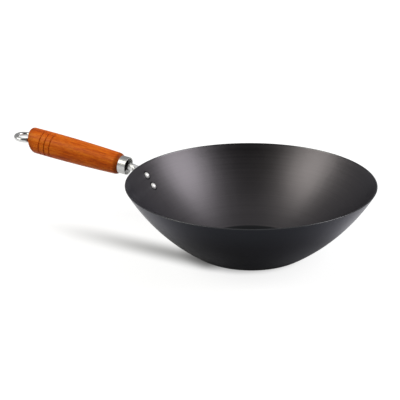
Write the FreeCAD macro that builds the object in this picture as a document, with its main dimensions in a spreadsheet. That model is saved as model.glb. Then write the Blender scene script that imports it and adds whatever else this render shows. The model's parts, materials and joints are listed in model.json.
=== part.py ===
import FreeCAD, Part
import math
import os
import Sketcher

# Carbon steel wok: a pressed bowl, a riveted bracket and a turned wooden grip.
# The origin is the centre of the flat base, on the surface the wok stands on.
# +Z is up and +X points along the handle. Lengths are in millimetres, angles in degrees.

doc = FreeCAD.newDocument("wok")

# Driving dimensions

SIZES = {
    # bowl
    "rim_radius": 155.0,
    "rim_height": 88.0,
    "base_radius": 68.0,
    "wall_radius": 250.0,
    "base_corner": 12.0,
    "sheet": 1.5,
    "rim_round": 0.4,
    # line of the handle, measured where it passes the rim
    "handle_pitch": 6.05,
    "handle_drop": 6.25,
    # rivets
    "rivet_drop": 15.9,
    "rivet_spacing": 15.9,
    "rivet_shank": 5.0,
    "rivet_clearance": 0.1,
    "rivet_head": 8.6,
    "rivet_head_height": 2.2,
    "rivet_tail": 8.0,
    "rivet_tail_height": 1.6,
    "rivet_seat": 0.1,
    # bracket
    "stem_diameter": 9.5,
    "stem_depth": 65.0,
    "strip_width": 20.0,
    "strip_thickness": 3.2,
    "strip_bend": 2.5,
    "strip_reach": 2.5,
    "flare_length": 6.5,
    "wall_gap": 0.05,
    # ferrule
    "ferrule_offset": 17.0,
    "ferrule_length": 10.6,
    "ferrule_diameter": 23.0,
    "ferrule_wall": 1.0,
    "ferrule_edge": 0.3,
    # grip
    "grip_length": 131.1,
    "grip_front": 28.0,
    "grip_back": 32.0,
    "grip_curve": 2100.0,
    "grip_shoulder": 2.7,
    "shoulder_length": 6.0,
    "spigot_length": 4.5,
    "spigot_clearance": 0.1,
    "end_slant": 19.5,
    "end_round": 3.0,
    "groove_offset": 16.7,
    "groove_pitch": 7.9,
    "groove_radius": 1.0,
    "bore_clearance": 0.2,
    "bore_spare": 1.0,
    # hanging eye
    "eye_wire": 6.0,
    "eye_radius": 11.1,
    "eye_gap": 0.4,
    "eye_shank": 5.0,
    "eye_depth": 38.0,
    "eye_clearance": 0.1,
    # how far a cut runs past what it cuts
    "overrun": 5.0,
}
GROOVE_COUNT = 3
EDGE_POINT_COUNT = 5

sheet = doc.addObject("Spreadsheet::Sheet", "Sizes")
for row, (alias, value) in enumerate(SIZES.items(), start=1):
    sheet.set(f"A{row}", alias)
    sheet.set(f"B{row}", str(value))
    sheet.setAlias(f"B{row}", alias)
doc.recompute()


def size(alias):
    """The number that the sheet holds under this name."""
    return float(getattr(sheet, alias))


# Sketch helpers

START, END, CENTRE = range(1, 4)
X_AXIS, Y_AXIS = (-number for number in range(1, 3))
ORIGIN_POINT = (X_AXIS, START)
UP = FreeCAD.Vector(0, 0, 1)
FULL_TURN = math.degrees(2 * math.pi)


def point(x, y):
    return FreeCAD.Vector(x, y, 0)


def plane_of(body, role):
    return next(item for item in body.Origin.OriginFeatures if item.Role == role)


def new_sketch(body, name, role):
    sketch = body.newObject("Sketcher::SketchObject", name)
    sketch.AttachmentSupport = [(plane_of(body, role), "")]
    sketch.MapMode = "FlatFace"
    return sketch


def line(sketch, start, end, construction=False):
    return sketch.addGeometry(Part.LineSegment(point(*start), point(*end)), construction)


def arc(sketch, centre, radius, first, last, construction=False):
    circle = Part.Circle(point(*centre), UP, radius)
    return sketch.addGeometry(Part.ArcOfCircle(circle, first, last), construction)


def join(sketch, first, second):
    sketch.addConstraint(Sketcher.Constraint("Coincident", *first, *second))


def tangent(sketch, first, second):
    sketch.addConstraint(Sketcher.Constraint("Tangent", *first, *second))


def fix(sketch, kind, items, value, formula):
    """A dimension whose value follows a formula of the sheet's cells."""
    index = sketch.addConstraint(Sketcher.Constraint(kind, *items, value))
    sketch.setExpression(f"Constraints[{index}]", formula)


def place(sketch, item, x, y, x_formula, y_formula):
    """Holds one point of a sketch at two distances from its origin."""
    fix(sketch, "DistanceX", ORIGIN_POINT + item, x, x_formula)
    fix(sketch, "DistanceY", ORIGIN_POINT + item, y, y_formula)


def chain(sketch, lines):
    """Joins each line's end to the start of the next, all the way round."""
    for this, after in zip(lines, lines[1:] + lines[:1]):
        join(sketch, (this, END), (after, START))


def edges_where(feature, test):
    return [f"Edge{n}" for n, edge in enumerate(feature.Shape.Edges, start=1) if test(edge)]


def fillet(body, name, feature, edges, formula):
    rounding = body.newObject("PartDesign::Fillet", name)
    rounding.Base = (feature, edges)
    rounding.setExpression("Radius", formula)
    doc.recompute()
    return rounding


def revolve(body, name, sketch, axis, kind="Revolution"):
    turned = body.newObject("PartDesign::" + kind, name)
    turned.Profile = sketch
    turned.ReferenceAxis = (sketch, [axis])
    turned.Angle = FULL_TURN
    doc.recompute()
    return turned


def new_body(label):
    body = doc.addObject("PartDesign::Body", label)
    body.Label = label
    return body


# Wall of the bowl in section: an arc from the edge of the base to the rim

def wall_centre():
    across = size("rim_radius") - size("base_radius")
    rise = size("rim_height")
    chord = math.hypot(across, rise)
    back = math.sqrt(size("wall_radius") ** 2 - (chord / 2) ** 2)
    middle = (size("base_radius") + across / 2, rise / 2)
    return middle[0] - back * rise / chord, middle[1] + back * across / chord


WALL = wall_centre()
RIM_ANGLE = math.atan2(size("rim_height") - WALL[1], size("rim_radius") - WALL[0])


def wall_angle(drop):
    """Direction, from the arc's centre, of a point this far down the wall from the rim."""
    return RIM_ANGLE - drop / size("wall_radius")


def on_wall(radius, angle):
    return WALL[0] + radius * math.cos(angle), WALL[1] + radius * math.sin(angle)


def hold_wall(sketch, curve):
    """Makes a curve of a sketch the wall's outer arc, by two points on it and its radius."""
    for radius, height in (("base_radius", None), ("rim_radius", "rim_height")):
        x, y = size(radius), size(height) if height else 0
        mark = sketch.addGeometry(Part.Point(point(x, y)), True)
        fix(sketch, "DistanceX", ORIGIN_POINT + (mark, START), x, f"Sizes.{radius}")
        if height:
            fix(sketch, "DistanceY", ORIGIN_POINT + (mark, START), y, f"Sizes.{height}")
        else:
            sketch.addConstraint(Sketcher.Constraint("PointOnObject", mark, START, X_AXIS))
        sketch.addConstraint(Sketcher.Constraint("PointOnObject", mark, START, curve))
    fix(sketch, "Radius", (curve,), size("wall_radius"), "Sizes.wall_radius")


# Placement of everything that lies along the handle

HANDLE_START = FreeCAD.Vector(size("rim_radius"), 0, size("rim_height") - size("handle_drop"))
TILT_AXIS = FreeCAD.Vector(0, -1, 0)


def along_handle(item):
    """Sets an object with its X axis on the handle's line, from where that passes the rim."""
    item.Placement = FreeCAD.Placement(HANDLE_START, FreeCAD.Rotation(TILT_AXIS, size("handle_pitch")))
    item.setExpression("Placement.Base.x", "Sizes.rim_radius")
    item.setExpression("Placement.Base.z", "Sizes.rim_height - Sizes.handle_drop")
    item.setExpression("Placement.Rotation.Angle", "Sizes.handle_pitch")


def cross_section(body, name, formula):
    """A sketch square to the body's X axis, at a distance along it."""
    sketch = new_sketch(body, name, "YZ_Plane")
    sketch.setExpression("AttachmentOffset.Base.z", formula)
    return sketch


SHOULDER = "(Sizes.ferrule_offset + Sizes.ferrule_length)"
SPIGOT_FACE = f"({SHOULDER} - Sizes.spigot_length)"
GRIP_END = f"({SHOULDER} + Sizes.grip_length)"
STEM_START = "(Sizes.strip_reach + Sizes.flare_length)"

shoulder_x = size("ferrule_offset") + size("ferrule_length")
spigot_x = shoulder_x - size("spigot_length")
grip_end_x = shoulder_x + size("grip_length")


# Rivet bores, square to the wall, shared by the bowl and the bracket

def rivet_placement(drop):
    """A rivet's Z axis points into the bowl, from the wall's outside."""
    angle = wall_angle(drop)
    x, z = on_wall(size("wall_radius"), angle)
    inward = FreeCAD.Vector(-math.cos(angle), 0, -math.sin(angle))
    return FreeCAD.Placement(FreeCAD.Vector(x, 0, z), FreeCAD.Rotation(UP, inward))


RIVET_DROPS = {
    "upper_rivet": size("rivet_drop"),
    "lower_rivet": size("rivet_drop") + size("rivet_spacing"),
}


def rivet_bores():
    bores = []
    for label, drop in RIVET_DROPS.items():
        bore = doc.addObject("Part::Cylinder", label + "_bore")
        bore.setExpression("Radius", "(Sizes.rivet_shank + Sizes.rivet_clearance) / 2")
        bore.setExpression("Height", "2 * Sizes.overrun + Sizes.strip_thickness + Sizes.sheet")
        start = FreeCAD.Vector(0, 0, -size("overrun") - size("strip_thickness"))
        bore.Placement = rivet_placement(drop).multiply(FreeCAD.Placement(start, FreeCAD.Rotation()))
        bores.append(bore)
    both = doc.addObject("Part::MultiFuse", "rivet_bores")
    both.Shapes = bores
    return both


def drilled(label, body, bores):
    part = doc.addObject("Part::Cut", label)
    part.Label = label
    part.Base = body
    part.Tool = bores
    return part


# Bowl: a sheet turned about Z, with a rounded corner at its base

def bowl_profile(body):
    sketch = new_sketch(body, "bowl_profile", "XZ_Plane")
    corner, gauge = size("base_corner"), size("sheet")
    radius, inner_radius = size("wall_radius"), size("wall_radius") - gauge
    corner_x = WALL[0] + math.sqrt((radius - corner) ** 2 - (corner - WALL[1]) ** 2)
    turn = math.atan2(corner - WALL[1], corner_x - WALL[0])
    rim = (size("rim_radius"), size("rim_height"))
    inner_rim_angle = math.asin((rim[1] - WALL[1]) / inner_radius)
    inner_rim = on_wall(inner_radius, inner_rim_angle)

    base = line(sketch, (0, 0), (corner_x, 0))
    outer_corner = arc(sketch, (corner_x, corner), corner, -math.pi / 2, turn)
    outer_wall = arc(sketch, WALL, radius, turn, RIM_ANGLE)
    edge = line(sketch, rim, inner_rim)
    inner_wall = arc(sketch, WALL, inner_radius, turn, inner_rim_angle)
    inner_corner = arc(sketch, (corner_x, corner), corner - gauge, -math.pi / 2, turn)
    floor = line(sketch, (corner_x, gauge), (0, gauge))
    middle = line(sketch, (0, gauge), (0, 0))

    tangent(sketch, (base, END), (outer_corner, START))
    tangent(sketch, (outer_corner, END), (outer_wall, START))
    join(sketch, (outer_wall, END), (edge, START))
    join(sketch, (edge, END), (inner_wall, END))
    tangent(sketch, (inner_wall, START), (inner_corner, END))
    tangent(sketch, (inner_corner, START), (floor, START))
    join(sketch, (floor, END), (middle, START))
    join(sketch, (middle, END), (base, START))
    join(sketch, (base, START), ORIGIN_POINT)
    join(sketch, (inner_wall, CENTRE), (outer_wall, CENTRE))
    join(sketch, (inner_corner, CENTRE), (outer_corner, CENTRE))
    for level in (base, edge, floor):
        sketch.addConstraint(Sketcher.Constraint("Horizontal", level))
    sketch.addConstraint(Sketcher.Constraint("Vertical", middle))
    hold_wall(sketch, outer_wall)
    fix(sketch, "DistanceX", ORIGIN_POINT + (outer_wall, END), rim[0], "Sizes.rim_radius")
    fix(sketch, "Radius", (outer_corner,), corner, "Sizes.base_corner")
    fix(sketch, "Distance", (middle,), gauge, "Sizes.sheet")
    return sketch


def make_bowl(bores):
    body = new_body("bowl_pressing")
    profile = bowl_profile(body)
    turned = revolve(body, "bowl_turned", profile, "V_Axis")
    near_rim = size("rim_height") - size("sheet") / 2
    rim_edges = edges_where(turned, lambda edge: edge.BoundBox.ZMin > near_rim)
    fillet(body, "rim_rounding", turned, rim_edges, "Sizes.rim_round")
    return drilled("wok_bowl", body, bores)


# Bracket: a rod forged flat at one end, bent to the wall and riveted to it

def strip_path(body):
    """Middle line of the flat end: in along the handle, round the bend and down the wall."""
    sketch = new_sketch(body, "strip_path", "XZ_Plane")
    pitch = math.radians(size("handle_pitch"))
    gap = size("wall_gap") + size("strip_thickness") / 2
    bend = size("strip_bend") + size("strip_thickness") / 2
    wall_line = size("wall_radius") + gap
    low = wall_angle(RIVET_DROPS["lower_rivet"])

    def beside_handle(distance, height):
        return (HANDLE_START.x + distance * math.cos(pitch) - height * math.sin(pitch),
                HANDLE_START.z + distance * math.sin(pitch) + height * math.cos(pitch))

    foot = beside_handle(0, -bend)
    offset = (foot[0] - WALL[0], foot[1] - WALL[1])
    forward = offset[0] * math.cos(pitch) + offset[1] * math.sin(pitch)
    aside = offset[1] * math.cos(pitch) - offset[0] * math.sin(pitch)
    inmost = math.sqrt((wall_line + bend) ** 2 - aside ** 2) - forward
    bend_centre = beside_handle(inmost, -bend)
    touch = math.atan2(bend_centre[1] - WALL[1], bend_centre[0] - WALL[0])

    run = line(sketch, beside_handle(size("strip_reach"), 0), beside_handle(inmost, 0))
    turn = arc(sketch, bend_centre, bend, pitch + math.pi / 2, touch + math.pi)
    down = arc(sketch, WALL, wall_line, low, touch)
    wall = arc(sketch, WALL, size("wall_radius"), low, RIM_ANGLE, True)
    axis = line(sketch, beside_handle(0, 0), beside_handle(size("strip_reach"), 0), True)
    rim_spoke = line(sketch, WALL, on_wall(size("wall_radius"), RIM_ANGLE), True)
    low_spoke = line(sketch, WALL, on_wall(wall_line, low), True)

    hold_wall(sketch, wall)
    fix(sketch, "DistanceX", ORIGIN_POINT + (wall, END), size("rim_radius"), "Sizes.rim_radius")
    join(sketch, (down, CENTRE), (wall, CENTRE))
    for spoke, outer in ((rim_spoke, (wall, END)), (low_spoke, (down, START))):
        join(sketch, (spoke, START), (wall, CENTRE))
        join(sketch, (spoke, END), outer)
    sketch.addConstraint(Sketcher.Constraint("PointOnObject", wall, START, low_spoke))
    fix(sketch, "Radius", (down,), wall_line,
        "Sizes.wall_radius + Sizes.wall_gap + Sizes.strip_thickness / 2")
    fix(sketch, "Radius", (turn,), bend, "Sizes.strip_bend + Sizes.strip_thickness / 2")
    fix(sketch, "Angle", (low_spoke, START, rim_spoke, START), RIM_ANGLE - low,
        "(Sizes.rivet_drop + Sizes.rivet_spacing) / Sizes.wall_radius * 1 rad")
    place(sketch, (axis, START), HANDLE_START.x, HANDLE_START.z, "Sizes.rim_radius",
          "Sizes.rim_height - Sizes.handle_drop")
    fix(sketch, "Angle", (axis,), pitch, "Sizes.handle_pitch * 1 deg")
    fix(sketch, "Distance", (axis,), size("strip_reach"), "Sizes.strip_reach")
    join(sketch, (run, START), (axis, END))
    sketch.addConstraint(Sketcher.Constraint("Parallel", run, axis))
    tangent(sketch, (run, END), (turn, START))
    tangent(sketch, (turn, END), (down, END))
    return sketch


def flat_section(body, name, half=False):
    """The forged strip's section: flat faces and round edges; half of it ends at the middle."""
    sketch = new_sketch(body, name, "YZ_Plane")
    thick = size("strip_thickness") / 2
    wide = size("strip_width") / 2 - thick
    near = 0 if half else -wide
    over = line(sketch, (wide, thick), (near, thick))
    under = line(sketch, (near, -thick), (wide, -thick))
    right = arc(sketch, (wide, 0), thick, -math.pi / 2, math.pi / 2)
    tangent(sketch, (under, END), (right, START))
    tangent(sketch, (right, END), (over, START))
    sketch.addConstraint(Sketcher.Constraint("Horizontal", over))
    sketch.addConstraint(Sketcher.Constraint("PointOnObject", right, CENTRE, X_AXIS))
    fix(sketch, "Radius", (right,), thick, "Sizes.strip_thickness / 2")
    fix(sketch, "DistanceX", ORIGIN_POINT + (right, CENTRE), wide,
        "(Sizes.strip_width - Sizes.strip_thickness) / 2")
    if half:
        middle = line(sketch, (0, thick), (0, -thick))
        join(sketch, (over, END), (middle, START))
        join(sketch, (middle, END), (under, START))
        for spot in (START, END):
            sketch.addConstraint(Sketcher.Constraint("PointOnObject", middle, spot, Y_AXIS))
        return sketch
    left = arc(sketch, (-wide, 0), thick, math.pi / 2, 3 * math.pi / 2)
    tangent(sketch, (over, END), (left, START))
    tangent(sketch, (left, END), (under, START))
    sketch.addConstraint(Sketcher.Constraint("Symmetric", left, CENTRE, right, CENTRE, *ORIGIN_POINT))
    return sketch


def make_strip():
    """The flat end, swept along its path, with its lower end turned round the lower rivet."""
    body = new_body("bracket_strip")
    section = flat_section(body, "strip_section")
    section.AttachmentOffset = FreeCAD.Placement(
        FreeCAD.Vector(), FreeCAD.Rotation(FreeCAD.Vector(-1, 0, 0), size("handle_pitch")))
    section.setExpression("AttachmentOffset.Rotation.Angle", "Sizes.handle_pitch")
    section.setExpression("AttachmentOffset.Base.y", "Sizes.rim_height - Sizes.handle_drop"
                          " + Sizes.strip_reach * sin(Sizes.handle_pitch * 1 deg)")
    section.setExpression("AttachmentOffset.Base.z", "Sizes.rim_radius"
                          " + Sizes.strip_reach * cos(Sizes.handle_pitch * 1 deg)")
    swept = body.newObject("PartDesign::AdditivePipe", "strip_swept")
    swept.Profile = section
    path = strip_path(body)
    doc.recompute()
    swept.Spine = (path, ["Edge1", "Edge2", "Edge3"])
    doc.recompute()

    half = flat_section(body, "strip_end_section", True)
    low = wall_angle(RIVET_DROPS["lower_rivet"])
    x, z = on_wall(size("wall_radius") + size("wall_gap") + size("strip_thickness") / 2, low)
    lean = FULL_TURN / 4 - math.degrees(low)
    half.AttachmentOffset = FreeCAD.Placement(
        FreeCAD.Vector(0, z, x), FreeCAD.Rotation(FreeCAD.Vector(1, 0, 0), lean))
    end = body.newObject("PartDesign::Revolution", "strip_end")
    end.Profile = half
    end.ReferenceAxis = (half, ["V_Axis"])
    end.Angle = FULL_TURN / 2
    end.Reversed = True
    doc.recompute()
    return body


def round_section(body, name, distance, diameter):
    """A circle square to the body's X axis and centred on it."""
    sketch = cross_section(body, name, distance)
    ring = sketch.addGeometry(Part.Circle(point(0, 0), UP, size("overrun")))
    join(sketch, (ring, CENTRE), ORIGIN_POINT)
    fix(sketch, "Diameter", (ring,), 2 * size("overrun"), diameter)
    return sketch


def make_stem():
    """The rod, from where it is forged flat to its end inside the grip."""
    body = new_body("bracket_stem")
    flat = flat_section(body, "flare_section")
    flat.setExpression("AttachmentOffset.Base.z", "Sizes.strip_reach")
    ring = round_section(body, "stem_section", STEM_START, "Sizes.stem_diameter")
    flare = body.newObject("PartDesign::AdditiveLoft", "flare")
    flare.Profile = flat
    flare.Sections = [ring]
    doc.recompute()
    rod = body.newObject("PartDesign::Pad", "rod")
    rod.Profile = ring
    rod.setExpression("Length", f"{SPIGOT_FACE} + Sizes.stem_depth - {STEM_START}")
    doc.recompute()
    along_handle(body)
    return body


def make_bracket(bores):
    forged = doc.addObject("Part::MultiFuse", "bracket_forging")
    forged.Shapes = [make_strip(), make_stem()]
    return drilled("handle_bracket", forged, bores)


# Rivets: a domed head inside the bowl, a formed tail on the bracket

def rivet_profile(body):
    sketch = new_sketch(body, "rivet_profile", "XZ_Plane")
    shank, head, tail = size("rivet_shank") / 2, size("rivet_head") / 2, size("rivet_tail") / 2
    under_head = size("sheet") + size("rivet_seat")
    on_strip = -size("wall_gap") - size("strip_thickness")
    top = under_head + size("rivet_head_height")
    bottom = on_strip - size("rivet_tail_height")

    def dome(rim, level, crown):
        """An arc about the rivet's axis, from a rim at one level to its crown."""
        rise = crown - level
        radius = (rim ** 2 + rise ** 2) / (2 * abs(rise))
        centre = (0, crown - math.copysign(radius, rise))
        edge = math.atan2(level - centre[1], rim)
        pole = math.copysign(math.pi / 2, rise)
        return arc(sketch, centre, radius, min(edge, pole), max(edge, pole))

    crown = dome(head, under_head, top)
    middle = line(sketch, (0, top), (0, bottom))
    foot = dome(tail, on_strip, bottom)
    seat = line(sketch, (tail, on_strip), (shank, on_strip))
    side = line(sketch, (shank, on_strip), (shank, under_head))
    shoulder = line(sketch, (shank, under_head), (head, under_head))
    join(sketch, (crown, END), (middle, START))
    join(sketch, (middle, END), (foot, START))
    join(sketch, (foot, END), (seat, START))
    join(sketch, (seat, END), (side, START))
    join(sketch, (side, END), (shoulder, START))
    join(sketch, (shoulder, END), (crown, START))
    for curve in (crown, foot):
        sketch.addConstraint(Sketcher.Constraint("PointOnObject", curve, CENTRE, Y_AXIS))
    for spot in (START, END):
        sketch.addConstraint(Sketcher.Constraint("PointOnObject", middle, spot, Y_AXIS))
    under, over = "Sizes.sheet + Sizes.rivet_seat", "-Sizes.wall_gap - Sizes.strip_thickness"
    place(sketch, (crown, START), head, under_head, "Sizes.rivet_head / 2", under)
    place(sketch, (side, END), shank, under_head, "Sizes.rivet_shank / 2", under)
    place(sketch, (side, START), shank, on_strip, "Sizes.rivet_shank / 2", over)
    place(sketch, (foot, END), tail, on_strip, "Sizes.rivet_tail / 2", over)
    fix(sketch, "DistanceY", ORIGIN_POINT + (middle, START), top, f"{under} + Sizes.rivet_head_height")
    fix(sketch, "DistanceY", ORIGIN_POINT + (middle, END), bottom, f"{over} - Sizes.rivet_tail_height")
    return sketch


def make_rivet(label, drop):
    body = new_body(label)
    revolve(body, label + "_turned", rivet_profile(body), "V_Axis")
    body.Placement = rivet_placement(drop)
    return body


# Ferrule: a short tube pressed over the grip's spigot, its open end towards the bowl

def make_ferrule():
    body = new_body("ferrule")
    sketch = new_sketch(body, "ferrule_profile", "XZ_Plane")
    outer = size("ferrule_diameter") / 2
    inner = outer - size("ferrule_wall")
    front = size("ferrule_offset")
    corners = [(front, inner), (shoulder_x, inner), (shoulder_x, outer), (front, outer)]
    sides = [line(sketch, a, b) for a, b in zip(corners, corners[1:] + corners[:1])]
    chain(sketch, sides)
    for side, kind in zip(sides, ("Horizontal", "Vertical", "Horizontal", "Vertical")):
        sketch.addConstraint(Sketcher.Constraint(kind, side))
    place(sketch, (sides[0], START), front, inner, "Sizes.ferrule_offset",
          "Sizes.ferrule_diameter / 2 - Sizes.ferrule_wall")
    place(sketch, (sides[2], START), shoulder_x, outer, SHOULDER, "Sizes.ferrule_diameter / 2")
    tube = revolve(body, "ferrule_tube", sketch, "H_Axis")
    mouth = edges_where(tube, lambda edge: edge.BoundBox.XMax < front + size("ferrule_edge"))
    fillet(body, "ferrule_rounding", tube, mouth, "Sizes.ferrule_edge")
    along_handle(body)
    return body


# Grip: turned wood with grooves near its far end, which is cut on a slant and rounded

BACK = f"({GRIP_END} + Sizes.grip_back / 2 * tan(Sizes.end_slant * 1 deg) + Sizes.end_round)"
FRONT = f"({SHOULDER} + Sizes.shoulder_length)"
slant_share = math.tan(math.radians(size("end_slant")))
back_x = grip_end_x + size("grip_back") / 2 * slant_share + size("end_round")
front_x = shoulder_x + size("shoulder_length")


def grip_line(sketch, construction=False):
    """The long curve of the grip's side, from its far end to its shoulder."""
    first, last = (back_x, size("grip_back") / 2), (front_x, size("grip_front") / 2)
    run, rise = last[0] - first[0], last[1] - first[1]
    chord = math.hypot(run, rise)
    away = math.sqrt(size("grip_curve") ** 2 - (chord / 2) ** 2)
    centre = (first[0] + run / 2 - away * rise / chord, first[1] + rise / 2 + away * run / chord)
    angles = [math.atan2(spot[1] - centre[1], spot[0] - centre[0]) for spot in (first, last)]
    curve = arc(sketch, centre, size("grip_curve"), *angles, construction)
    place(sketch, (curve, START), *first, BACK, "Sizes.grip_back / 2")
    place(sketch, (curve, END), *last, FRONT, "Sizes.grip_front / 2")
    fix(sketch, "Radius", (curve,), size("grip_curve"), "Sizes.grip_curve")
    return curve, centre


def grip_profile(body):
    sketch = new_sketch(body, "grip_profile", "XZ_Plane")
    spigot = size("ferrule_diameter") / 2 - size("ferrule_wall") - size("spigot_clearance") / 2
    front, back = size("grip_front") / 2, size("grip_back") / 2
    fall, length = size("grip_shoulder"), size("shoulder_length")
    shoulder = (length ** 2 + fall ** 2) / (2 * fall)
    face = line(sketch, (spigot_x, 0), (spigot_x, spigot))
    neck = line(sketch, (spigot_x, spigot), (shoulder_x, spigot))
    step = line(sketch, (shoulder_x, spigot), (shoulder_x, front - fall))
    slope = math.asin(length / shoulder)
    turn = arc(sketch, (front_x, front - shoulder), shoulder, math.pi / 2, math.pi / 2 + slope)
    side = grip_line(sketch)[0]
    end = line(sketch, (back_x, back), (back_x, 0))
    middle = line(sketch, (back_x, 0), (spigot_x, 0))
    join(sketch, (face, END), (neck, START))
    join(sketch, (neck, END), (step, START))
    join(sketch, (step, END), (turn, END))
    join(sketch, (turn, START), (side, END))
    join(sketch, (side, START), (end, START))
    join(sketch, (end, END), (middle, START))
    join(sketch, (middle, END), (face, START))
    for upright in (face, step, end):
        sketch.addConstraint(Sketcher.Constraint("Vertical", upright))
    sketch.addConstraint(Sketcher.Constraint("Horizontal", neck))
    for spot in (START, END):
        sketch.addConstraint(Sketcher.Constraint("PointOnObject", middle, spot, X_AXIS))
    place(sketch, (face, END), spigot_x, spigot, SPIGOT_FACE,
          "Sizes.ferrule_diameter / 2 - Sizes.ferrule_wall - Sizes.spigot_clearance / 2")
    place(sketch, (turn, END), shoulder_x, front - fall, SHOULDER,
          "Sizes.grip_front / 2 - Sizes.grip_shoulder")
    sketch.addConstraint(Sketcher.Constraint("Vertical", turn, CENTRE, turn, START))
    return sketch


def groove_profile(body):
    """Round grooves whose centres lie on the grip's side."""
    sketch = new_sketch(body, "groove_profile", "XZ_Plane")
    side, centre = grip_line(sketch, True)
    for count in range(GROOVE_COUNT):
        x = grip_end_x - size("groove_offset") - count * size("groove_pitch")
        y = centre[1] + math.sqrt(size("grip_curve") ** 2 - (x - centre[0]) ** 2)
        ring = sketch.addGeometry(Part.Circle(point(x, y), UP, size("groove_radius")))
        sketch.addConstraint(Sketcher.Constraint("PointOnObject", ring, CENTRE, side))
        fix(sketch, "DistanceX", ORIGIN_POINT + (ring, CENTRE), x,
            f"{GRIP_END} - Sizes.groove_offset - {count} * Sizes.groove_pitch")
        fix(sketch, "Radius", (ring,), size("groove_radius"), "Sizes.groove_radius")
    return sketch


def slant_profile(body):
    """Everything past the slanted end, which stands out further at the top than below."""
    sketch = new_sketch(body, "slant_profile", "XZ_Plane")
    reach = size("grip_back")
    run = reach * slant_share
    far = back_x + run
    corners = [(grip_end_x - run, -reach), (far, -reach), (far, reach), (grip_end_x + run, reach)]
    sides = [line(sketch, a, b) for a, b in zip(corners, corners[1:] + corners[:1])]
    chain(sketch, sides)
    for side, kind in zip(sides, ("Horizontal", "Vertical", "Horizontal")):
        sketch.addConstraint(Sketcher.Constraint(kind, side))
    lean = "Sizes.grip_back * tan(Sizes.end_slant * 1 deg)"
    place(sketch, (sides[3], END), *corners[0], f"{GRIP_END} - {lean}", "-Sizes.grip_back")
    place(sketch, (sides[3], START), *corners[3], f"{GRIP_END} + {lean}", "Sizes.grip_back")
    fix(sketch, "DistanceX", ORIGIN_POINT + (sides[1], START), far, f"{BACK} + {lean}")
    return sketch


def bore(body, name, sketch, depth, inward):
    """A round hole along the grip's axis."""
    hole = body.newObject("PartDesign::Pocket", name)
    hole.Profile = sketch
    hole.Reversed = inward
    hole.setExpression("Length", depth)
    doc.recompute()
    return hole


def make_grip():
    body = new_body("wooden_grip")
    revolve(body, "grip_turned", grip_profile(body), "H_Axis")
    revolve(body, "grip_grooves", groove_profile(body), "H_Axis", "Groove")
    cut = body.newObject("PartDesign::Pocket", "grip_slant")
    cut.Profile = slant_profile(body)
    cut.Type = "ThroughAll"
    cut.SideType = "Symmetric"
    doc.recompute()

    def on_slant(edge):
        return all(
            abs(spot.x - grip_end_x - spot.z * slant_share) < size("end_round")
            for spot in edge.discretize(Number=EDGE_POINT_COUNT)
        )

    fillet(body, "grip_end", cut, edges_where(cut, on_slant), "Sizes.end_round")
    tang = round_section(body, "tang_section", SPIGOT_FACE, "Sizes.stem_diameter + Sizes.bore_clearance")
    bore(body, "tang_bore", tang, "Sizes.stem_depth + Sizes.bore_spare", True)
    shank = round_section(body, "shank_section", BACK, "Sizes.eye_shank + Sizes.eye_clearance")
    bore(body, "shank_bore", shank, f"{BACK} - {GRIP_END} + Sizes.eye_depth + Sizes.bore_spare", False)
    along_handle(body)
    return body


# Hanging eye: a ring of round wire in the level plane of the handle, with a shank into the wood

def make_eye():
    middle = f"{GRIP_END} + Sizes.eye_gap + Sizes.eye_wire / 2 + Sizes.eye_radius"
    ring = doc.addObject("Part::Torus", "eye_ring")
    ring.setExpression("Radius1", "Sizes.eye_radius")
    ring.setExpression("Radius2", "Sizes.eye_wire / 2")
    ring.setExpression("Placement.Base.x", middle)
    shank = doc.addObject("Part::Cylinder", "eye_shank_rod")
    shank.setExpression("Radius", "Sizes.eye_shank / 2")
    shank.setExpression("Height", "Sizes.eye_depth + Sizes.eye_gap + Sizes.eye_wire / 2")
    shank.Placement.Rotation = FreeCAD.Rotation(UP, FreeCAD.Vector(1, 0, 0))
    shank.setExpression("Placement.Base.x", f"{GRIP_END} - Sizes.eye_depth")
    eye = doc.addObject("Part::MultiFuse", "hanging_eye")
    eye.Label = "hanging_eye"
    eye.Shapes = [ring, shank]
    along_handle(eye)
    return eye


bores = rivet_bores()
parts = [make_bowl(bores), make_bracket(bores)]
parts += [make_rivet(label, drop) for label, drop in RIVET_DROPS.items()]
parts += [make_ferrule(), make_grip(), make_eye()]
doc.recompute()

for item in doc.Objects:
    if {"Invalid", "Error"} & set(item.State):
        raise RuntimeError(f"{item.Label} did not build: {item.State}")

os.makedirs("parts", exist_ok=True)
for part in parts:
    shape = part.Shape
    if shape.isNull() or not shape.isValid() or len(shape.Solids) != 1:
        raise RuntimeError(f"{part.Label} is not one sound solid")
    shape.exportStep(f"parts/{part.Label}.step")
    box = shape.BoundBox
    print(f"{part.Label}: {shape.Volume:.0f} mm3, x {box.XMin:.2f} to {box.XMax:.2f}, "
          f"y {box.YMin:.2f} to {box.YMax:.2f}, z {box.ZMin:.2f} to {box.ZMax:.2f}")
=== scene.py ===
# %% [markdown]
# # A carbon steel wok
#
# This lesson dresses a wok that was already built in CAD. The bowl, bracket, rivets, ferrule, grip and
# hanging eye arrive as exact solids, and each one keeps its place. What Blender adds is the finish of
# every surface, the camera, the light and a plain floor. Everything is in metres: the origin is the
# middle of the flat base, +Z is up and +X runs out along the handle.

# %% Load the solids
import json
import math

import bpy
from mathutils import Matrix, Vector


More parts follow.
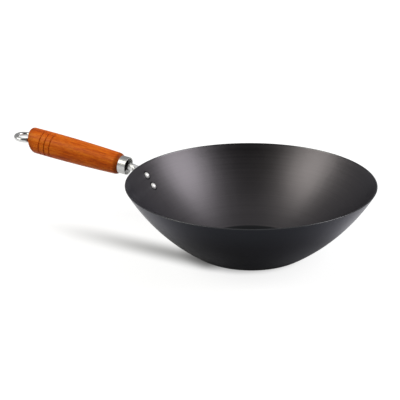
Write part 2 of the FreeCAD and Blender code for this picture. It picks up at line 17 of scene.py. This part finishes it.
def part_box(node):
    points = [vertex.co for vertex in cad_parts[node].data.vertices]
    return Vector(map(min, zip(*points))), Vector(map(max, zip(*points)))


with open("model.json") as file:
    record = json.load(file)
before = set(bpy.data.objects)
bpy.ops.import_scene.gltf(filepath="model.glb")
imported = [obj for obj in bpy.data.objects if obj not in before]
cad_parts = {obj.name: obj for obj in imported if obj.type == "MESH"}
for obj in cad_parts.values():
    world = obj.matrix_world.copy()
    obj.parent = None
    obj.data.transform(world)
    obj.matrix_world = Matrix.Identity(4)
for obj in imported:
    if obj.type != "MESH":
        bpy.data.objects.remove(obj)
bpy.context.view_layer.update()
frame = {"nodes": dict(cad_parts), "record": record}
nodes = frame["nodes"]
bpy.ops.object.select_all(action="DESELECT")
print("solids:", ", ".join(sorted(nodes)))

# %% [markdown]
# ## Sums in a material
#
# A finish is a web of shader nodes. Written out one by one, even a short sum takes many lines, so one
# small class wraps a node's output and lets Python's own operators add the Math nodes. Its `node`
# method adds any other kind: settings go in first, then numbers or other wires go to its sockets.

# %% A wire that can do sums
# A Mix node has sockets for every kind of value. These are the ones for colours.
MIX_FIRST, MIX_SECOND, MIX_RESULT = 6, 7, 2


class Wire:
    """The output of a shader node, with the operators that these finishes need."""

    def __init__(self, socket):
        self.socket = socket

    def node(self, kind, settings=None, sockets=None, out=0):
        """Adds a node beside this wire's own and returns one of its outputs."""
        new = self.socket.id_data.nodes.new(kind)
        for name, value in (settings or {}).items():
            if name == "stops":
                set_stops(new.color_ramp, value)
            else:
                setattr(new, name, value)
        wire = Wire(new.outputs[out])
        wire.feed(sockets or {})
        return wire

    def feed(self, sockets):
        """Sends numbers, colours or other wires into this wire's own node."""
        node = self.socket.node
        for name, value in sockets.items():
            if isinstance(value, Wire):
                node.id_data.links.new(value.socket, node.inputs[name])
            else:
                node.inputs[name].default_value = value

    def math(self, operation, first, second=0.0):
        """One Math node."""
        return self.node("ShaderNodeMath", {"operation": operation}, {0: first, 1: second})

    def __add__(self, other):
        return self.math("ADD", self, other)

    __radd__ = __add__

    def __sub__(self, other):
        return self.math("SUBTRACT", self, other)

    def __rsub__(self, other):
        return self.math("SUBTRACT", other, self)

    def __mul__(self, other):
        return self.math("MULTIPLY", self, other)

    __rmul__ = __mul__

    def __pow__(self, power):
        return self.math("POWER", self, power)

    def __gt__(self, other):
        return self.math("GREATER_THAN", self, other)

    def __lt__(self, other):
        return self.math("LESS_THAN", self, other)

    def __abs__(self):
        return self.math("ABSOLUTE", self)

    def fade(self, start, end):
        """A soft step: 0 at start, 1 at end."""
        span = {"Value": self, "From Min": start, "From Max": end}
        return self.node("ShaderNodeMapRange", {"interpolation_type": "SMOOTHSTEP"}, span)

    def mix(self, first, second):
        """Goes from one colour to another as this wire goes from 0 to 1."""
        sockets = {"Factor": self, MIX_FIRST: first, MIX_SECOND: second}
        return self.node("ShaderNodeMix", {"data_type": "RGBA"}, sockets, out=MIX_RESULT)

    def split(self):
        """The three numbers of a vector."""
        parts = self.node("ShaderNodeSeparateXYZ", None, {0: self})
        return [Wire(output) for output in parts.socket.node.outputs]


def set_stops(ramp, stops):
    """Places the colours of a colour ramp."""
    while len(ramp.elements) < len(stops):
        ramp.elements.new(1.0)
    for element, (place, colour) in zip(ramp.elements, stops):
        element.position = place
        element.color = colour


print("a wire can", ", ".join(name for name in vars(Wire) if name[0] != "_"))

# %% [markdown]
# ## Starting a finish
#
# Every finish below starts alike: a new material, its Principled shader and the object coordinates. These
# are the solid's own metres, so a pattern keeps its real scale and stays put when the wok is moved. Noise,
# bump and a few measures come up again and again, so each gets a short helper.

# %% Helpers for every finish
def new_finish(name):
    """An empty material, its Principled shader and its object coordinates."""
    material = bpy.data.materials.new(name)
    material.use_nodes = True
    shader = Wire(material.node_tree.nodes["Principled BSDF"].outputs[0])
    return material, shader, shader.node("ShaderNodeTexCoord", out="Object")


def stretched(place, x, y, z):
    """A place made of three numbers, for a pattern that runs in one direction."""
    return place.node("ShaderNodeCombineXYZ", None, {0: x, 1: y, 2: z})


def noise(place, scale, detail, distortion=0.0):
    """Soft random levels about 0.5; a larger scale makes smaller spots."""
    sockets = {"Vector": place, "Scale": scale, "Detail": detail, "Distortion": distortion}
    return place.node("ShaderNodeTexNoise", None, sockets)


def swing(level, spread):
    """A noise's rise and fall about its mean of 0.5, made this strong."""
    return (level - 0.5) * spread


def bump(height, strength, depth):
    """Tilts the surface as if it had this relief."""
    sockets = {"Strength": strength, "Distance": depth, "Height": height}
    return height.node("ShaderNodeBump", None, sockets)


def gap_to(place, point):
    """How far each place is from one point."""
    ends = {0: place, 1: point}
    return place.node("ShaderNodeVectorMath", {"operation": "DISTANCE"}, ends, out="Value")


def from_axis(first, second):
    """How far a place is from an axis, from its two numbers across that axis."""
    return (first * first + second * second) ** 0.5


def dress(node, material):
    """Gives one solid its finish."""
    slots = nodes[node].data.materials
    slots.clear()
    slots.append(material)
    print(node, "wears", material.name)


print("to dress:", len(nodes), "solids")

# %% [markdown]
# ## The coated bowl
#
# The bowl is one sheet of steel with a dark cooking coat on both sides. Inside, the coat is a little
# lighter and carries faint rings from spinning; outside it is nearly black. An image could hold the rings,
# but a noise that sees only radius and height draws them at any size. On the cut rim the coat is thin and
# rubbed smooth, so both sides get paler and glossier there.

# %% Patterns in the coat
RING_SCALE = 420.0
GRAIN_SCALE = 1500.0
COAT_SPREAD = 0.10
COAT_BUMP = 0.08
COAT_DEPTH = 0.0002
RIM_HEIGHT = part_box("wok_bowl")[1][2]
RIM_EDGE = (RIM_HEIGHT - 0.0008, RIM_HEIGHT - 0.0002)
RIM_STEEL = (0.09, 0.09, 0.093, 1)
RIM_GLOSS = 0.20


def spun_rings(place):
    """Rings about the bowl's axis: the noise sees only a point's radius and height."""
    x, y, z = place.split()
    vector = stretched(place, from_axis(x, y) * RING_SCALE, z * RING_SCALE, 0.0)
    return noise(vector, scale=1.0, detail=3.0)


def coat_grain(place):
    """The coat's fine tooth."""
    return noise(place, GRAIN_SCALE, detail=1.0)


def rim_mask(place):
    """1 on the cut rim, 0 below it."""
    return place.split()[2].fade(*RIM_EDGE)


print("rim at", round(RIM_HEIGHT, 4), "m")

# %% [markdown]
# Inside, a black ring is painted round each rivet's head as painted shade. A rivet's place is the
# middle of its box, so the dark ring follows the rivet. The flat base is painted darker than the wall, up
# to the bend round it, as a painted dark reflection. Its height tells it apart, so no second material is
# needed.

# %% Inside of the bowl
INNER_DARK = (0.058, 0.054, 0.058, 1)
INNER_LIGHT = (0.096, 0.0895, 0.096, 1)
CLOUD_SHARE = 0.4
SPUN_SHARE = 0.6
SPUN_RELIEF = 0.6
INNER_EDGE_TINT = (0.94, 0.95, 1.0, 1)
INNER_ROUGHNESS = 0.38
RIVETS = ("upper_rivet", "lower_rivet")
# Painted shade: a black ring round each rivet's head, where the head meets the coat.
RIVET_SHADE = (0.001, 0.001, 0.0012, 1)
RIVET_SHADE_SHARE = 0.95
RIVET_SHADE_RING = (0.0056, 0.0068)
# Painted dark reflection: the flat base is painted darker than the wall, up to the bend round it.
BASE_PAINTED_REFLECTION = (0.028, 0.029, 0.031, 1)
PAINTED_REFLECTION_EDGE = (0.0035, 0.0045)


def middle(node):
    """The middle of a solid's box."""
    low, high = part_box(node)
    return (Vector(low) + Vector(high)) / 2.0


def with_rivet_shade(place, coat):
    """Paints shade round each rivet: the coat goes black in a ring there."""
    for rivet in RIVETS:
        rivet_shade = 1.0 - gap_to(place, middle(rivet)).fade(*RIVET_SHADE_RING)
        coat = (rivet_shade * RIVET_SHADE_SHARE).mix(coat, RIVET_SHADE)
    return coat


def inner_coat(shader, place, cloud):
    """Sets up the shader of the inner side."""
    spun = spun_rings(place)
    rim = rim_mask(place)
    coat = (cloud * CLOUD_SHARE + spun * SPUN_SHARE).mix(INNER_DARK, INNER_LIGHT)
    # The flat base gets its painted dark reflection here.
    coat = place.split()[2].fade(*PAINTED_REFLECTION_EDGE).mix(BASE_PAINTED_REFLECTION, coat)
    dull = INNER_ROUGHNESS + swing(cloud, COAT_SPREAD) + swing(spun, COAT_SPREAD)
    shader.feed({
        "Base Color": rim.mix(with_rivet_shade(place, coat), RIM_STEEL),
        "Roughness": dull - rim * RIM_GLOSS,
        "Normal": bump(spun * SPUN_RELIEF + coat_grain(place), COAT_BUMP, COAT_DEPTH),
        "Metallic": 1.0,
        "Specular Tint": INNER_EDGE_TINT,
    })


for rivet in RIVETS:
    print(rivet, "at", [round(part, 4) for part in middle(rivet)])

# %% [markdown]
# The outer side gets a shader of its own, and a mask joins the two. The sheet is only 1.5 mm thick, so
# position alone hardly tells one side from the other. The way a face looks does: the inner side looks up
# and the outer side looks down.

# %% Outside of the bowl, and both sides together
OUTER_DARK = (0.0108, 0.0118, 0.0148, 1)
OUTER_LIGHT = (0.0148, 0.0160, 0.0196, 1)
OUTER_EDGE_TINT = (0.93, 0.925, 0.975, 1)
OUTER_ROUGHNESS = 0.31
CLOUD_SCALE = 14.0


def outer_coat(place, cloud):
    """Adds the shader of the outer side."""
    rim = rim_mask(place)
    sockets = {
        "Base Color": rim.mix(cloud.mix(OUTER_DARK, OUTER_LIGHT), RIM_STEEL),
        "Roughness": OUTER_ROUGHNESS + swing(cloud, COAT_SPREAD) - rim * RIM_GLOSS,
        "Normal": bump(coat_grain(place), COAT_BUMP, COAT_DEPTH),
        "Metallic": 1.0,
        "Specular Tint": OUTER_EDGE_TINT,
    }
    return place.node("ShaderNodeBsdfPrincipled", None, sockets)


def bowl_finish():
    """The coat with both of its sides."""
    material, inner, place = new_finish("cooking_coat")
    cloud = noise(place, CLOUD_SCALE, detail=4.0)
    inner_coat(inner, place, cloud)
    looks_up = place.node("ShaderNodeTexCoord", out="Normal").split()[2] > 0.0
    sides = {0: looks_up, 1: outer_coat(place, cloud), 2: inner}
    both = place.node("ShaderNodeMixShader", None, sides)
    tree = material.node_tree
    tree.links.new(both.socket, tree.nodes["Material Output"].inputs["Surface"])
    return material


dress("wok_bowl", bowl_finish())

# %% [markdown]
# ## The handle's own axes
#
# The handle rises a little from the rim, so the world's axes don't follow it. Its grain, grooves and draw
# lines do. The hanging hole in its end is a mount, and the record gives that mount's place and direction,
# which fix the handle's line. A material can then turn object coordinates to lie along it. Where each
# piece starts and ends on that line is measured on the solids.

# %% Places along the handle
HOLE = next(mount for mount in frame["record"]["mounts"] if mount["name"] == "hanging_hole")
HOLE_MIDDLE = Vector(HOLE["pos_m"])
HANDLE_UP = Vector(HOLE["axis"])
HANDLE_AXIS = Vector((HANDLE_UP.z, 0.0, -HANDLE_UP.x))
HANDLE_PITCH = math.atan2(HANDLE_AXIS.z, HANDLE_AXIS.x)
END_ANGLE = 19.5
END_SLANT = math.tan(math.radians(END_ANGLE))


def reach(node, lean=0.0):
    """Where a solid starts and ends along the handle, measured from the hanging hole."""
    along = HANDLE_AXIS - HANDLE_UP * lean
    spots = [(vertex.co - HOLE_MIDDLE).dot(along) for vertex in nodes[node].data.vertices]
    return min(spots), max(spots)


def bore(node):
    """The radius of the hole through a solid that lies round the handle's line."""
    arms = [vertex.co - HOLE_MIDDLE for vertex in nodes[node].data.vertices]
    return min((arm - HANDLE_AXIS * arm.dot(HANDLE_AXIS)).length for arm in arms)


def along_handle(place):
    """Turns object coordinates so that X runs along the handle, from the hanging hole."""
    ends = {0: place, 1: HOLE_MIDDLE}
    moved = place.node("ShaderNodeVectorMath", {"operation": "SUBTRACT"}, ends)
    turned = {"Vector": moved, "Angle": HANDLE_PITCH, "Axis": (0.0, 1.0, 0.0)}
    return place.node("ShaderNodeVectorRotate", {"rotation_type": "AXIS_ANGLE"}, turned)


MOUTH, SHOULDER = reach("ferrule")
GRIP_END = reach("wooden_grip", END_SLANT)[1]
BORE = bore("ferrule")
print("ferrule from", round(MOUTH, 4), "to", round(SHOULDER, 4), "with a bore of", round(BORE, 4))
print("grip to", round(GRIP_END, 4))

# %% [markdown]
# ## The turned grip
#
# The grip is varnished reddish wood, and its grain runs along the handle. A wave texture would give even
# stripes, so several noises are stretched along X instead: broad bands are the growth rings, strands,
# fibres and flecks are the finer figure, and short dark dashes are open pores.

# %% Wood grain
WOOD_STOPS = [
    (0.36, (0.35, 0.043, 0.0015, 1)),
    (0.48, (0.59, 0.099, 0.0025, 1)),
    (0.60, (0.76, 0.184, 0.009, 1)),
]
GROWTH = {"length": 0.11, "width": 0.009, "detail": 2.0, "distortion": 0.6}
STRANDS = {"length": 0.030, "width": 0.0026, "detail": 2.0}
FIBRES = {"length": 0.012, "width": 0.0009, "detail": 2.0}
FLECKS = {"length": 0.007, "width": 0.0014, "detail": 1.0}
PORES = {"length": 0.006, "width": 0.00045, "detail": 1.0}
GROWTH_SHARE, STRAND_SHARE, FIBRE_SHARE, FLECK_SHARE = 0.34, 0.30, 0.18, 0.18
PORE_EDGE = (0.62, 0.72)
PORE_SHARE = 0.6
PORE_BROWN = (0.16, 0.025, 0.002, 1)


def streaks(axis, length, width, detail, distortion=0.0):
    """Noise whose spots are this long and this wide, in metres."""
    x, y, z = axis.split()
    vector = stretched(axis, x * (1.0 / length), y * (1.0 / width), z * (1.0 / width))
    return noise(vector, 1.0, detail, distortion)


def wood_grain(axis):
    """The wood's colour, with the patterns that its gloss and relief need too."""
    growth = streaks(axis, **GROWTH)
    strands = streaks(axis, **STRANDS)
    fibres = streaks(axis, **FIBRES)
    flecks = streaks(axis, **FLECKS)
    pores = streaks(axis, **PORES).fade(*PORE_EDGE)
    tone = growth * GROWTH_SHARE + strands * STRAND_SHARE + fibres * FIBRE_SHARE + flecks * FLECK_SHARE
    wood = tone.node("ShaderNodeValToRGB", {"stops": WOOD_STOPS}, {"Fac": tone})
    return (pores * PORE_SHARE).mix(wood, PORE_BROWN), pores, growth, fibres


print("wood of", len(WOOD_STOPS), "browns")

# %% [markdown]
# At the grooves and the shoulder, which the lathe cut, the wood is painted darker as painted shade. At the
# slanted end, where a saw cut across the fibres, the wood drinks more stain, and shade is painted there
# too.
# The spigot inside the ferrule is painted black as painted shade. Each of these places is a soft step along
# the handle, so one material does for the whole grip.

# %% Stain
GROOVE_COUNT = 3
GROOVE_OFFSET = 0.0167
GROOVE_PITCH = 0.0079
GROOVES = [GRIP_END - GROOVE_OFFSET - count * GROOVE_PITCH for count in range(GROOVE_COUNT)]
GROOVE_EDGE = (0.0002, 0.0008)
SHOULDER_EDGE = (SHOULDER + 0.0020, SHOULDER + 0.0075)
SPIGOT_EDGE = (SHOULDER - 0.0008, SHOULDER - 0.0002)
END_EDGE = (GRIP_END - 0.0100, GRIP_END)
# Painted shade in the grooves and at the shoulder; at the slanted end, darker end grain and painted shade.
GROOVE_SHADE, SHOULDER_SHADE, END_STAIN_AND_SHADE = 0.35, 0.55, 0.40
STAIN_AND_SHADE_BROWN = (0.12, 0.018, 0.001, 1)
# Painted shade: the spigot deep inside the ferrule is painted black.
SPIGOT_SHADE_BLACK = (0.012, 0.008, 0.006, 1)


def stained_and_shaded(axis, wood):
    """Paints shade into the grooves and the shoulder, stain and shade at the slanted end, and shade on the
    spigot.
    """
    x, _, z = axis.split()
    groove_shade = 0.0
    for groove in GROOVES:
        groove_shade = groove_shade + (1.0 - abs(x - groove).fade(*GROOVE_EDGE))
    shoulder = 1.0 - x.fade(*SHOULDER_EDGE)
    # The slanted end: darker end grain together with painted shade.
    end = (x - z * END_SLANT).fade(*END_EDGE)
    stain_and_shade = groove_shade * GROOVE_SHADE + shoulder * SHOULDER_SHADE + end * END_STAIN_AND_SHADE
    return (1.0 - x.fade(*SPIGOT_EDGE)).mix(stain_and_shade.mix(wood, STAIN_AND_SHADE_BROWN), SPIGOT_SHADE_BLACK)


print("grooves at", [round(groove, 4) for groove in GROOVES])

# %% [markdown]
# The varnish is thin and satin. It lies a little duller in the pores, and the fibres still stand out under
# it, so both patterns go into the roughness and the bump as well.

# %% Varnish
VARNISH_ROUGHNESS = 0.44
VARNISH_SPREAD = 0.15
VARNISH_SHINE = 0.10
PORE_ROUGHNESS = 0.2
FIBRE_RELIEF = 0.5
WOOD_BUMP = 0.15
WOOD_DEPTH = 0.0002


def wood_finish():
    """Stained and varnished wood."""
    material, shader, place = new_finish("varnished_wood")
    axis = along_handle(place)
    wood, pores, growth, fibres = wood_grain(axis)
    shader.feed({
        "Base Color": stained_and_shaded(axis, wood),
        "Roughness": VARNISH_ROUGHNESS + pores * PORE_ROUGHNESS + swing(growth, VARNISH_SPREAD),
        "Normal": bump(fibres * FIBRE_RELIEF - pores, WOOD_BUMP, WOOD_DEPTH),
        "Specular IOR Level": VARNISH_SHINE,
    })
    return material


dress("wooden_grip", wood_finish())

# %% [markdown]
# ## Bright steel
#
# The bracket, ferrule and hanging eye are bright steel. Real steel is never a perfect mirror: fine draw
# lines run along the rod and round the ferrule, so a stretched noise varies the roughness and gives a
# slight bump. One function makes all these finishes, and two masks can be given to it: where shade is
# painted on the steel as a dark grey, and where it is raw, plain grey instead of a mirror.

# %% Steel
# Painted shade: the dark grey for shade round the rod's entry and where the ring meets the wood.
STEEL_SHADE_GREY = (0.05, 0.047, 0.042, 1)
RAW_STEEL = (0.85, 0.86, 0.84, 1)
CLOUDED = 0.9
CLOUDED_SCALE = 120.0
DRAWN_BUMP = 0.04
DRAWN_DEPTH = 0.0001


def steel_finish(name, lines, colour, roughness, spread, painted_shade=None, raw=None):
    """Steel with draw lines, a scale per axis; the shade mask says where shade is painted on it, raw where
    it is unpolished.
    """
    material, shader, place = new_finish(name)
    axis = along_handle(place)
    spot = axis.split()
    drawn = noise(stretched(axis, *(part * line for part, line in zip(spot, lines))), scale=1.0, detail=3.0)
    clouded = tuple(CLOUDED * part for part in colour[:3]) + (1,)
    tint = noise(place, CLOUDED_SCALE, detail=3.0).mix(colour, clouded)
    if raw:
        tint = raw(*spot).mix(tint, RAW_STEEL)
    # Painted shade: a dark grey where the shade mask says.
    if painted_shade:
        tint = painted_shade(*spot).mix(tint, STEEL_SHADE_GREY)
    shader.feed({
        "Base Color": tint,
        "Roughness": roughness + swing(drawn, spread),
        "Normal": bump(drawn, DRAWN_BUMP, DRAWN_DEPTH),
        "Metallic": 1.0 - raw(*spot) if raw else 1.0,
    })
    return material


print("draw lines", round(DRAWN_DEPTH * 1000, 2), "mm deep")

# %% [markdown]
# The masks come next. The ferrule was never polished inside. Shade is painted as a dark grey in two
# places: round the rod where it enters the ferrule, and where the ring meets the wood. Each mask takes a
# spot's three numbers along the handle and is worked out from the pieces beside it.

# %% Raw and dirty places
BORE_ROOM = 0.0002
ROD_SHADE_EDGE = (MOUTH - 0.0018, MOUTH - 0.0008)
JOINT_EDGE = (0.0020, 0.0070)
JOINT_SHADE = 0.8


def inside_tube(x, y, z):
    """1 on the ferrule's inner wall."""
    return from_axis(y, z) < BORE + BORE_ROOM


def shade_at_the_mouth(x, y, z):
    """1 where shade is painted on the rod, from just before the ferrule's mouth on."""
    return x.fade(*ROD_SHADE_EDGE)


def shade_beside_the_wood(x, y, z):
    """Near 1 where shade is painted on the ring, where it meets the slanted end."""
    return (1.0 - abs(x - z * END_SLANT - GRIP_END).fade(*JOINT_EDGE)) * JOINT_SHADE


# The rod's darkening near the mouth is painted shade.
print("rod dirty from", round((MOUTH - ROD_SHADE_EDGE[0]) * 1000, 1), "mm before the ferrule")

# %% [markdown]
# Last come the four finishes. The rod is satin, the ferrule is a drawn tube with lines that run round it,
# the ring is polished, and the rivets were tumbled dull.

# %% Metal pieces
satin_rod = steel_finish(
    "satin_rod", lines=(60.0, 1800.0, 1800.0), colour=(0.86, 0.86, 0.855, 1),
    roughness=0.46, spread=0.15, painted_shade=shade_at_the_mouth,
)
drawn_tube = steel_finish(
    "drawn_tube", lines=(2500.0, 120.0, 120.0), colour=(0.54, 0.54, 0.535, 1),
    roughness=0.37, spread=0.10, raw=inside_tube,
)
polished_ring = steel_finish(
    "polished_ring", lines=(400.0, 400.0, 400.0), colour=(0.66, 0.66, 0.66, 1),
    roughness=0.22, spread=0.08, painted_shade=shade_beside_the_wood,
)
tumbled_steel = steel_finish(
    "tumbled_steel", lines=(700.0, 700.0, 700.0), colour=(0.95, 0.94, 0.93, 1),
    roughness=0.58, spread=0.12,
)
dress("handle_bracket", satin_rod)
dress("ferrule", drawn_tube)
dress("hanging_eye", polished_ring)
for rivet in RIVETS:
    dress(rivet, tumbled_steel)

# %% [markdown]
# ## Camera
#
# The camera stands where the photographer did: about two metres away with a long lens, a little above
# the rim, so that the handle points back and to the left. Its three axes are written into a matrix,
# which keeps the slight roll.

# %% Camera
VIEW_AZIMUTH = math.radians(206.906)
VIEW_DROP = math.radians(20.59)
VIEW_ROLL = math.radians(-0.354)
VIEW_DISTANCE = 2.0
VIEW_ASIDE = -0.06254
VIEW_ABOVE = 0.06196
SENSOR = 36.0
FOCAL_PIXELS = 1605.0
PICTURE_PIXELS = 400.0
FAR_CLIP = 50.0

level = Vector((math.cos(VIEW_AZIMUTH), math.sin(VIEW_AZIMUTH), 0.0))
away = Vector((-math.sin(VIEW_AZIMUTH), math.cos(VIEW_AZIMUTH), 0.0))
forward = away * math.cos(VIEW_DROP) - Vector((0, 0, math.sin(VIEW_DROP)))
upward = away * math.sin(VIEW_DROP) + Vector((0, 0, math.cos(VIEW_DROP)))
eye = level * VIEW_ASIDE + upward * VIEW_ABOVE - forward * VIEW_DISTANCE
side = level * math.cos(VIEW_ROLL) + upward * math.sin(VIEW_ROLL)
top = upward * math.cos(VIEW_ROLL) - level * math.sin(VIEW_ROLL)

bpy.ops.object.camera_add()
camera = bpy.context.object
camera.name = "photo_camera"
axes = Matrix((side, top, -forward)).transposed().to_4x4()
camera.matrix_world = Matrix.Translation(eye) @ axes
camera.data.sensor_width = SENSOR
camera.data.lens = SENSOR * FOCAL_PIXELS / PICTURE_PIXELS
camera.data.clip_end = FAR_CLIP
bpy.context.scene.camera = camera
print("camera at", [round(part, 3) for part in eye], "with a lens of", round(camera.data.lens), "mm")

# %% [markdown]
# ## A plain floor
#
# The floor is a wide pale sheet. The lamps light it, so that it takes the wok's shadow, and it also glows
# for the camera, so that it comes out white without more light on the wok. A solid can't shade a glow, so
# shadows are painted into the glow in two places: close round the base, and in a soft band on the floor
# beside the handle, as a painted shadow of the handle.

# %% Floor glow
# Painted shadows in the floor's glow: one round the base, one in a band beside the handle.
CONTACT_SHADOW_MIDDLE = level * -0.010
CONTACT_SHADOW_EDGE = (0.060, 0.0845)
CONTACT_SHADOW_GLOW = 0.42
FLOOR_GLOW = 0.87
WHITE_FROM = (0.2, 1.2)
BAND_SIDE = 0.0597
BAND_LEAN = -0.077
BAND_WIDTH = 0.036
BAND_START = (0.0, 0.03)
BAND_END = (0.03, 0.32)
BAND_SHADOW_DEPTH = 0.75


def painted_handle_shadow(x, y):
    """1 in the middle of the painted shadow beside the handle, 0 outside it."""
    across = 1.0 - abs(y - x * BAND_LEAN - BAND_SIDE).fade(0.0, BAND_WIDTH)
    return across * (x.fade(*BAND_START) - x.fade(*BAND_END))


def floor_glow(place):
    """How brightly the floor shines: white far off, with painted shadows round the base and beside the
    handle.
    """
    x, y, _ = place.split()
    outside_contact_shadow = gap_to(place, CONTACT_SHADOW_MIDDLE).fade(*CONTACT_SHADOW_EDGE)
    near = outside_contact_shadow * (FLOOR_GLOW - CONTACT_SHADOW_GLOW) + CONTACT_SHADOW_GLOW
    far = from_axis(x, y).fade(*WHITE_FROM)
    return (near + (1.0 - near) * far) * (1.0 - painted_handle_shadow(x, y) * BAND_SHADOW_DEPTH)


print("band beside the handle, from", BAND_END[0], "to", BAND_END[1], "m")

# %% [markdown]
# Steel would mirror a white floor too strongly from below, so reflections see only a part of the glow, and
# hardly any of it close to the base: a painted shadow that reflections see. A Light Path node tells the
# camera's rays from mirrored ones. The sheet lies a hair under the base, because two faces at one height
# would flicker.

# %% Floor
FLOOR_SIZE = 30.0
FLOOR_DROP = 0.0002
FLOOR_GREY = 0.46
CAMERA_GREY = 0.25
FLOOR_ROUGHNESS = 0.9
MIRROR_SHADOW_MIDDLE = away * -0.022
MIRROR_SHADOW_EDGE = (0.093, 0.163)
MIRROR_NEAR = 0.06
MIRROR_FAR = 0.76


def ray(wire, kind):
    """1 for rays of one kind, such as those straight from the camera."""
    return wire.node("ShaderNodeLightPath", out="Is " + kind + " Ray")


def floor_finish():
    """Pale and dull, with a glow for the camera and a part of it for reflections."""
    material, shader, place = new_finish("pale_floor")
    straight = ray(place, "Camera")
    mirrored = ray(place, "Glossy") + ray(place, "Transmission")
    # Painted shadow in reflections: mirrored rays see hardly any glow close to the base.
    part = gap_to(place, MIRROR_SHADOW_MIDDLE).fade(*MIRROR_SHADOW_EDGE) * (MIRROR_FAR - MIRROR_NEAR) + MIRROR_NEAR
    shader.feed({
        "Base Color": FLOOR_GREY - straight * (FLOOR_GREY - CAMERA_GREY),
        "Emission Color": floor_glow(place) * (straight + mirrored * part),
        "Emission Strength": 1.0,
        "Roughness": FLOOR_ROUGHNESS,
        "Specular IOR Level": 0.0,
    })
    return material


bpy.ops.mesh.primitive_plane_add(size=FLOOR_SIZE, location=(0, 0, -FLOOR_DROP))
floor = bpy.context.object
floor.name = "floor"
bpy.ops.object.transform_apply(location=True)
floor.data.materials.append(floor_finish())
print("floor of", [round(part, 1) for part in floor.dimensions], "m")

# %% [markdown]
# ## Studio light
#
# A dark shiny bowl shows its surroundings more than its own colour, so the room matters as much as the
# lamps. It is a white cove, less than half as bright in reflections as in view, paler low in front and
# dark above the camera.

# %% World
COVE = 0.40
FRONT_LIFT = 0.40
FRONT_DARK = 0.80
FRONT_FROM = (0.05, 0.60)
FRONT_RISE = (0.08, 0.32)
BACK_DARK = 0.12
BACK_FROM = (0.85, 0.97)

world = bpy.data.worlds.new("studio")
bpy.context.scene.world = world
world.use_nodes = True
background = Wire(world.node_tree.nodes["Background"].outputs[0])
direction = background.node("ShaderNodeTexCoord", out="Generated")
ends = {0: direction, 1: -away}
toward = direction.node("ShaderNodeVectorMath", {"operation": "DOT_PRODUCT"}, ends, out="Value")
rise = direction.split()[2]
front = toward.fade(*FRONT_FROM) * (FRONT_LIFT - rise.fade(*FRONT_RISE) * FRONT_DARK)
back = (0.0 - toward).fade(*BACK_FROM) * BACK_DARK
seen = ray(direction, "Camera") + ray(direction, "Transmission")
background.feed({"Color": (1, 1, 1, 1), "Strength": seen + (1.0 - seen) * (COVE + front - back)})
print("world", world.name, "of", len(world.node_tree.nodes), "nodes")

# %% [markdown]
# Two soft boxes stand left and right of the wok: their reflections are the two pale streaks inside the
# bowl and the white line along the ferrule. Small lamps would make hard bright spots there, so each box is
# over a metre wide.

# %% Lamps
AIM = Vector((0, 0, 0.05))
LAMP_DISTANCE = 2.0


def soft_box(name, azimuth, elevation, width, height, power, tint):
    """A rectangular lamp aimed at the bowl; azimuth is measured from the camera, to its right."""
    turn = math.radians(azimuth)
    climb = math.radians(elevation)
    flat = -away * math.cos(turn) + level * math.sin(turn)
    spot = AIM + (flat * math.cos(climb) + Vector((0, 0, math.sin(climb)))) * LAMP_DISTANCE
    bpy.ops.object.light_add(type="AREA", location=spot)
    lamp = bpy.context.object
    lamp.name = name
    lamp.rotation_euler = (AIM - spot).to_track_quat("-Z", "Y").to_euler()
    lamp.data.shape = "RECTANGLE"
    lamp.data.size = width
    lamp.data.size_y = height
    lamp.data.energy = power
    lamp.data.color = tint
    print(name, "of", power, "W at", [round(part, 2) for part in spot])


soft_box(
    "right_box", azimuth=84.5, elevation=40, width=1.2, height=1.05,
    power=26.3, tint=(1.0, 0.99, 1.0),
)
soft_box(
    "left_box", azimuth=-79.3, elevation=43, width=1.15, height=1.05,
    power=20.2, tint=(1.0, 0.985, 0.89),
)
bpy.context.scene.view_settings.view_transform = "Standard"

# %% [markdown]
